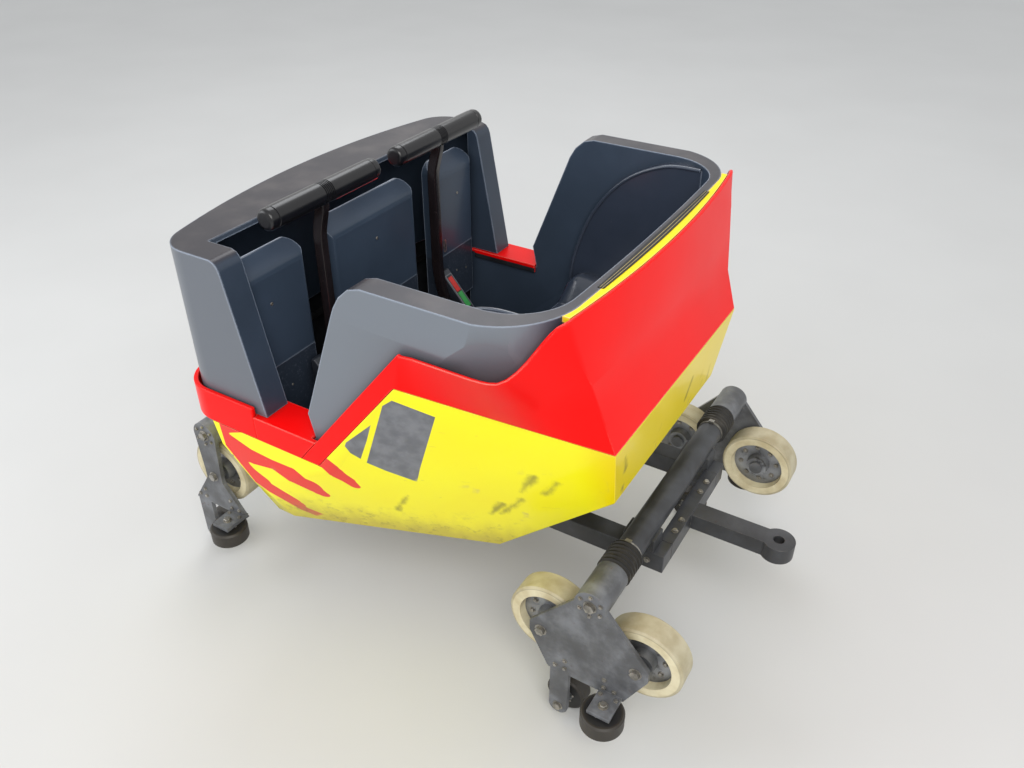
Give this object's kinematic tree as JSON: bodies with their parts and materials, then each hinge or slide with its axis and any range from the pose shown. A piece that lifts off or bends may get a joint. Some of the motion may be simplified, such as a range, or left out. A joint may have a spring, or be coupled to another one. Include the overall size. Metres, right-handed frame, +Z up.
{
  "type": "roller coaster car",
  "caption": "Two-seat roller coaster car with moulded body, open side notches, two lap bars and wheel carriers that grip the track.",
  "frame": {"origin": "on the ground below the middle of the car, half way between the two coupling pins", "axes": "+X the way the car travels, +Y its left side, +Z up"},
  "size_m": [1.826, 1.2544, 1.296],
  "materials": {
    "frame_paint": "satin, greasy",
    "gaiter_rubber": "matt ribbed rubber",
    "carrier_paint": "satin, greasy",
    "running_wheel_tread": "satin polyurethane",
    "guide_wheel_tread": "satin polyurethane",
    "body_yellow": "painted laminate, dirty and scratched low down",
    "floor_plastic": "textured",
    "tub_plastic": "satin moulding",
    "seat_plastic": "gloss moulding",
    "body_red": "gloss painted laminate",
    "flange_yellow": "gloss painted laminate",
    "bulkhead_plastic": "satin moulding",
    "pad_plastic": "satin moulding",
    "post_paint": "satin",
    "grip_rubber": "satin foam rubber",
    "console_plastic": "satin"
  },
  "bodies": {
    "car": {"frame_rail_left": "frame_paint", "frame_rail_right": "frame_paint", "cross_members": "frame_paint", "front_coupling": "frame_paint", "rear_coupling": "frame_paint", "rear_axle": "frame_paint", "front_axle": "frame_paint", "gaiter_rear_left": "gaiter_rubber", "gaiter_rear_right": "gaiter_rubber", "gaiter_front_left": "gaiter_rubber", "gaiter_front_right": "gaiter_rubber", "carrier_rear_left": "carrier_paint", "carrier_rear_right": "carrier_paint", "carrier_front_left": "carrier_paint", "carrier_front_right": "carrier_paint", "lower_body": "body_yellow", "floor_panel": "floor_plastic", "seat_tub": "tub_plastic", "seat_shell": "seat_plastic", "seat_divider": "seat_plastic", "rear_cowl": "body_red", "cowl_flange": "flange_yellow", "front_band": "body_red", "bulkhead": "bulkhead_plastic", "sill_left": "body_red", "sill_right": "body_red", "knee_pad_left": "pad_plastic", "knee_pad_centre": "pad_plastic", "knee_pad_right": "pad_plastic", "lap_bracket_left": "frame_paint", "console_left": "console_plastic", "lap_bracket_right": "frame_paint", "console_right": "console_plastic"},
    "running_wheel_rear_left_a": {"running_wheel_rear_left_a": "running_wheel_tread"},
    "running_wheel_rear_left_b": {"running_wheel_rear_left_b": "running_wheel_tread"},
    "running_wheel_rear_right_a": {"running_wheel_rear_right_a": "running_wheel_tread"},
    "running_wheel_rear_right_b": {"running_wheel_rear_right_b": "running_wheel_tread"},
    "running_wheel_front_left_a": {"running_wheel_front_left_a": "running_wheel_tread"},
    "running_wheel_front_right_a": {"running_wheel_front_right_a": "running_wheel_tread"},
    "side_wheel_rear_left": {"side_wheel_rear_left": "guide_wheel_tread"},
    "side_wheel_rear_right": {"side_wheel_rear_right": "guide_wheel_tread"},
    "side_wheel_front_left": {"side_wheel_front_left": "guide_wheel_tread"},
    "side_wheel_front_right": {"side_wheel_front_right": "guide_wheel_tread"},
    "upstop_wheel_rear_left": {"upstop_wheel_rear_left": "guide_wheel_tread"},
    "upstop_wheel_rear_right": {"upstop_wheel_rear_right": "guide_wheel_tread"},
    "upstop_wheel_front_left": {"upstop_wheel_front_left": "guide_wheel_tread"},
    "upstop_wheel_front_right": {"upstop_wheel_front_right": "guide_wheel_tread"},
    "lap_bar_left": {"lap_post_left": "post_paint", "lap_grip_left": "grip_rubber"},
    "lap_bar_right": {"lap_post_right": "post_paint", "lap_grip_right": "grip_rubber"}
  },
  "joints": [
    {"name": "running_wheel_rear_left_a_spin", "type": "hinge", "parent": "car", "child": "running_wheel_rear_left_a", "pos_m": [-0.686, 0.45, 0.329], "axis": [0, 1, 0], "continuous": true},
    {"name": "running_wheel_rear_left_b_spin", "type": "hinge", "parent": "car", "child": "running_wheel_rear_left_b", "pos_m": [-0.418, 0.45, 0.329], "axis": [0, 1, 0], "continuous": true},
    {"name": "running_wheel_rear_right_a_spin", "type": "hinge", "parent": "car", "child": "running_wheel_rear_right_a", "pos_m": [-0.686, -0.45, 0.329], "axis": [0, 1, 0], "continuous": true},
    {"name": "running_wheel_rear_right_b_spin", "type": "hinge", "parent": "car", "child": "running_wheel_rear_right_b", "pos_m": [-0.418, -0.45, 0.329], "axis": [0, 1, 0], "continuous": true},
    {"name": "running_wheel_front_left_a_spin", "type": "hinge", "parent": "car", "child": "running_wheel_front_left_a", "pos_m": [0.772, 0.45, 0.329], "axis": [0, 1, 0], "continuous": true},
    {"name": "running_wheel_front_right_a_spin", "type": "hinge", "parent": "car", "child": "running_wheel_front_right_a", "pos_m": [0.772, -0.45, 0.329], "axis": [0, 1, 0], "continuous": true},
    {"name": "side_wheel_rear_left_spin", "type": "hinge", "parent": "car", "child": "side_wheel_rear_left", "pos_m": [-0.627, 0.561, 0.167], "axis": [0, 0, 1], "continuous": true},
    {"name": "side_wheel_rear_right_spin", "type": "hinge", "parent": "car", "child": "side_wheel_rear_right", "pos_m": [-0.627, -0.561, 0.167], "axis": [0, 0, 1], "continuous": true},
    {"name": "side_wheel_front_left_spin", "type": "hinge", "parent": "car", "child": "side_wheel_front_left", "pos_m": [0.697, 0.561, 0.167], "axis": [0, 0, 1], "continuous": true},
    {"name": "side_wheel_front_right_spin", "type": "hinge", "parent": "car", "child": "side_wheel_front_right", "pos_m": [0.697, -0.561, 0.167], "axis": [0, 0, 1], "continuous": true},
    {"name": "upstop_wheel_rear_left_spin", "type": "hinge", "parent": "car", "child": "upstop_wheel_rear_left", "pos_m": [-0.477, 0.45, 0.057], "axis": [0, 1, 0], "continuous": true},
    {"name": "upstop_wheel_rear_right_spin", "type": "hinge", "parent": "car", "child": "upstop_wheel_rear_right", "pos_m": [-0.477, -0.45, 0.057], "axis": [0, 1, 0], "continuous": true},
    {"name": "upstop_wheel_front_left_spin", "type": "hinge", "parent": "car", "child": "upstop_wheel_front_left", "pos_m": [0.847, 0.45, 0.057], "axis": [0, 1, 0], "continuous": true},
    {"name": "upstop_wheel_front_right_spin", "type": "hinge", "parent": "car", "child": "upstop_wheel_front_right", "pos_m": [0.847, -0.45, 0.057], "axis": [0, 1, 0], "continuous": true},
    {"name": "lap_bar_left_swing", "type": "hinge", "parent": "car", "child": "lap_bar_left", "pos_m": [0.377, 0.263, 0.594], "axis": [0, -1, 0], "range_deg": [0, 55]},
    {"name": "lap_bar_right_swing", "type": "hinge", "parent": "car", "child": "lap_bar_right", "pos_m": [0.377, -0.263, 0.594], "axis": [0, -1, 0], "range_deg": [0, 55]}
  ]
}
